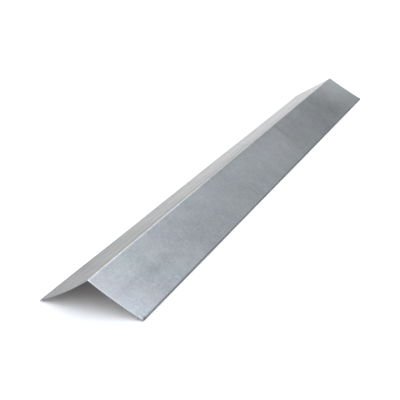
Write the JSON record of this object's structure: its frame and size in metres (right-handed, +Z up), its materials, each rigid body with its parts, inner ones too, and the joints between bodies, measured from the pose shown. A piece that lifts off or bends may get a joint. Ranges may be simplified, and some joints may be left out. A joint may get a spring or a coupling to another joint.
{
  "type": "v flashing",
  "caption": "Strip of galvanised sheet steel folded lengthwise into a plain open V, for covering the ridge, hip, valley or corner of a roof or chimney.",
  "frame": {"origin": "on the floor, below the middle of the ridge: halfway along the length and halfway between the two long cut edges", "axes": "+X along the ridge, +Y across it to one wing, +Z up, out of the closed side of the V"},
  "size_m": [1.5, 0.174, 0.0506],
  "materials": {
    "galvanised_steel": "plain galvanised sheet, dull grey zinc with a fine spangle and faint lines along the rolling direction"
  },
  "bodies": {
    "root": {"flashing_sheet": "galvanised_steel"}
  },
  "joints": []
}
